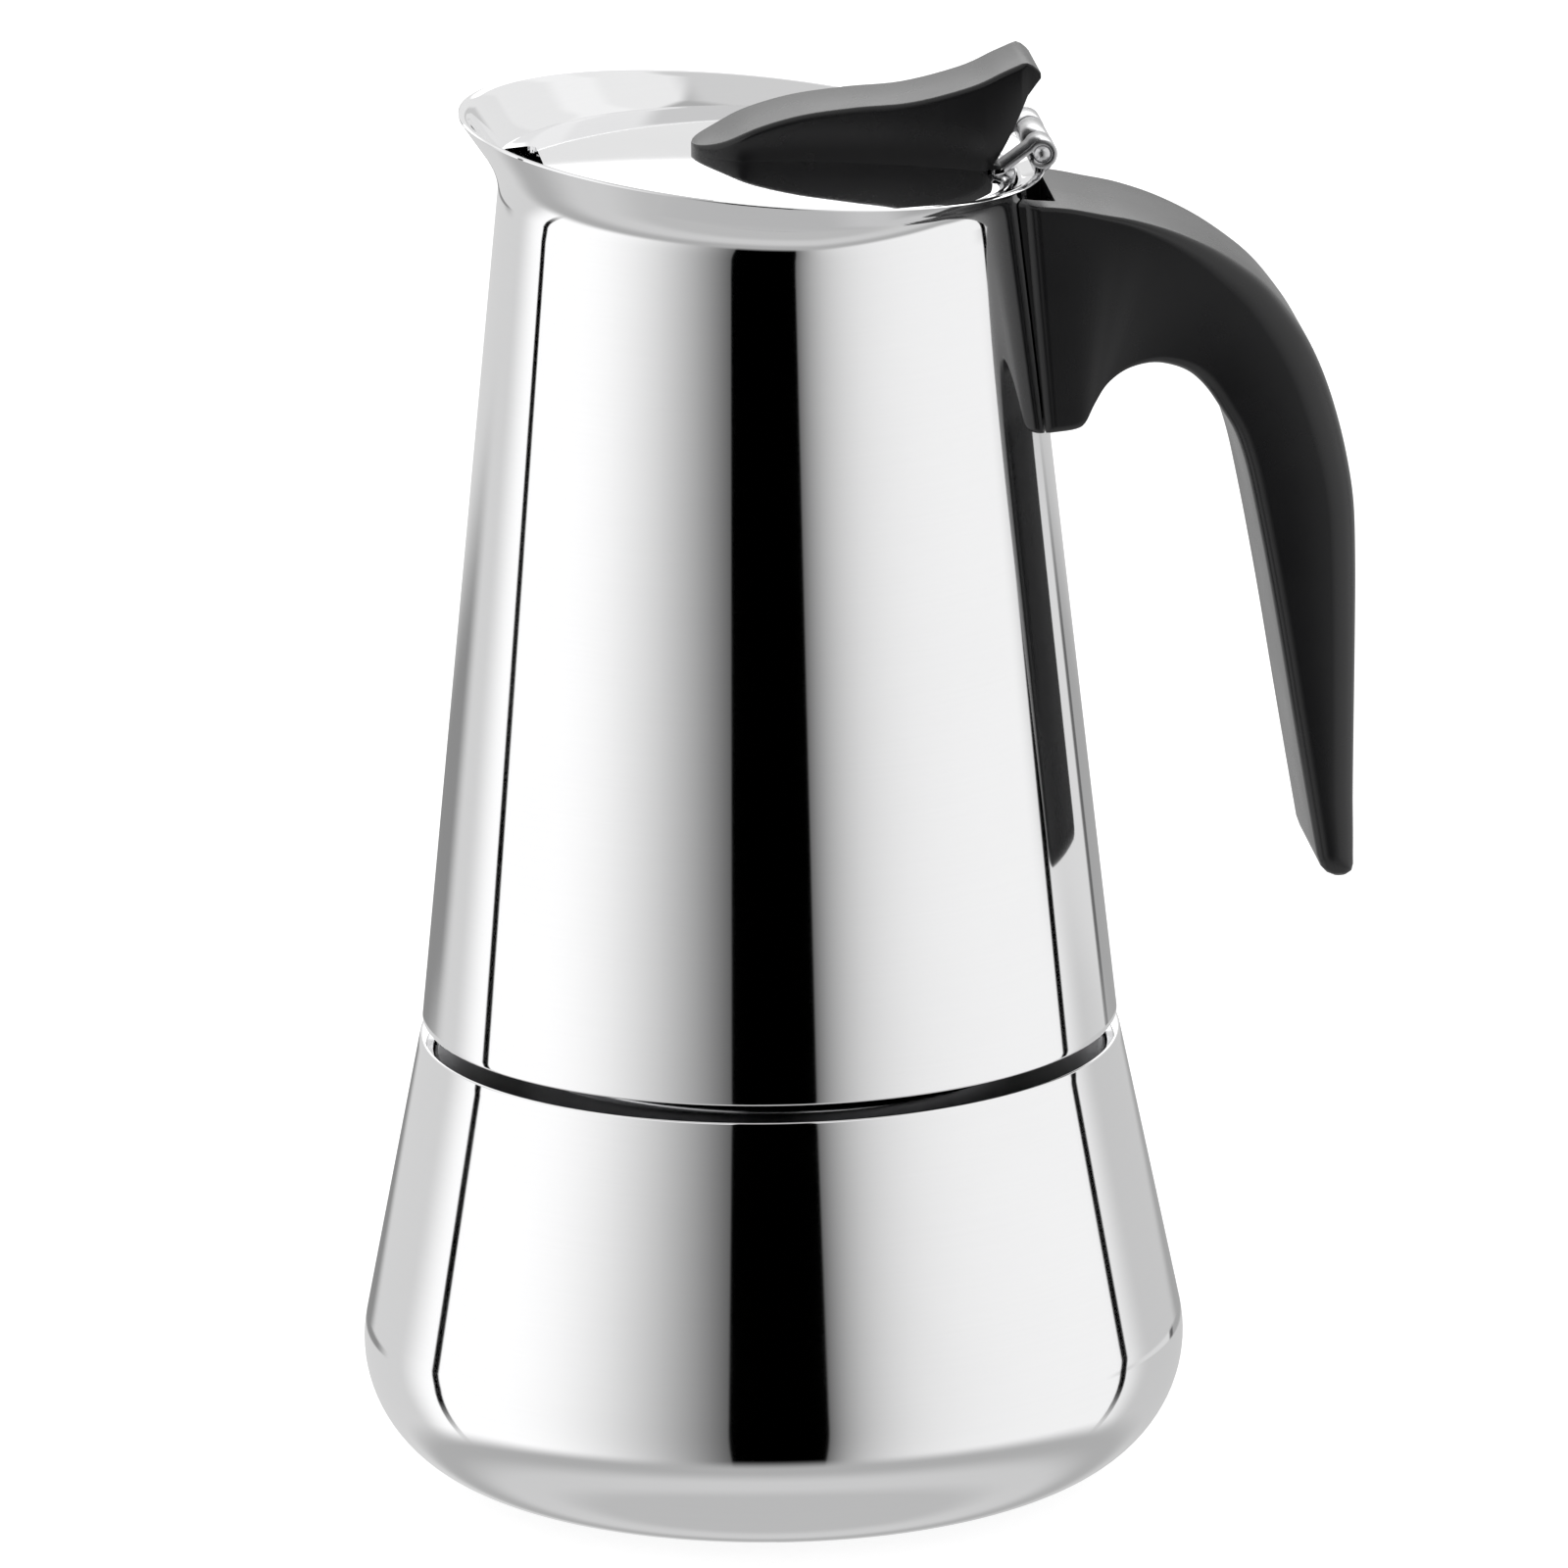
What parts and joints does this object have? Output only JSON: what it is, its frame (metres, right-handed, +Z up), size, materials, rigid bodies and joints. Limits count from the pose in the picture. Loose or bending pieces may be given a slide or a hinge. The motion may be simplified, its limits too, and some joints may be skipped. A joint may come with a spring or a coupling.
{
  "type": "moka pot",
  "caption": "Stove-top coffee pot of polished steel: flared boiler, screw-on conical jug with a slanted pouring rim, hinged lid with a knob and an open black hook handle.",
  "frame": {"origin": "centre of the boiler's flat base, on the axis of the pot", "axes": "+Z up along the pot's axis; +X towards the handle, so the spout is at -X; the safety valve is at +Y"},
  "size_m": [0.1226, 0.1062, 0.1749],
  "materials": {
    "polished_steel": "mirror polished stainless steel",
    "satin_steel": "plain turned or pressed stainless steel",
    "black_plastic": "satin moulded nylon",
    "brass": "turned brass",
    "silicone": "soft silicone rubber",
    "spring_steel": "bright drawn wire"
  },
  "bodies": {
    "boiler": {"boiler_shell": "polished_steel", "boiler_base": "polished_steel", "boiler_collar": "satin_steel", "valve_body": "brass", "valve_washer": "silicone", "valve_nut": "brass", "valve_cap": "brass", "valve_spring": "spring_steel"},
    "valve": {"valve_plunger": "brass"},
    "funnel": {"funnel_basket": "satin_steel", "funnel_stem": "satin_steel", "funnel_screen": "satin_steel"},
    "gasket": {"gasket": "silicone"},
    "filter": {"filter_plate": "satin_steel"},
    "jug": {"jug_shell": "polished_steel", "jug_floor": "satin_steel", "coffee_column": "satin_steel", "column_cap": "satin_steel", "handle_bracket": "satin_steel", "handle": "black_plastic", "handle_washer": "satin_steel", "handle_screw": "satin_steel", "hinge_bracket": "satin_steel", "hinge_pin": "satin_steel"},
    "lid": {"lid_shell": "polished_steel", "lid_leaf": "polished_steel", "knob": "black_plastic", "knob_screws": "satin_steel", "knob_washers": "satin_steel"}
  },
  "joints": [
    {"name": "funnel_lift", "type": "slide", "parent": "boiler", "child": "funnel", "axis": [0, 0, 1], "range_m": [0, 0.07]},
    {"name": "jug_lift", "type": "slide", "parent": "funnel", "child": "gasket", "axis": [0, 0, 1], "range_m": [0, 0.06]},
    {"name": "jug_rise", "type": "slide", "parent": "gasket", "child": "filter", "axis": [0, 0, 1], "range_m": [0, 0.0071]},
    {"name": "jug_unscrew", "type": "hinge", "parent": "filter", "child": "jug", "pos_m": [0, 0, 0.06], "axis": [0, 0, 1], "range_deg": [0, 720]},
    {"name": "lid_hinge", "type": "hinge", "parent": "jug", "child": "lid", "pos_m": [0.0333, 0, 0.1642], "axis": [0, 1, 0], "range_deg": [0, 105]},
    {"name": "valve_lift", "type": "slide", "parent": "boiler", "child": "valve", "axis": [0, 0.9803, 0.1977], "range_m": [0, 0.0015], "stiffness_N_per_m": 1500, "springref_m": -0.002, "deforming": ["valve_spring"]}
  ],
  "couplings": [
    {"joint": "jug_rise", "follows": "jug_unscrew", "m_per_rad": 0.00055704}
  ]
}
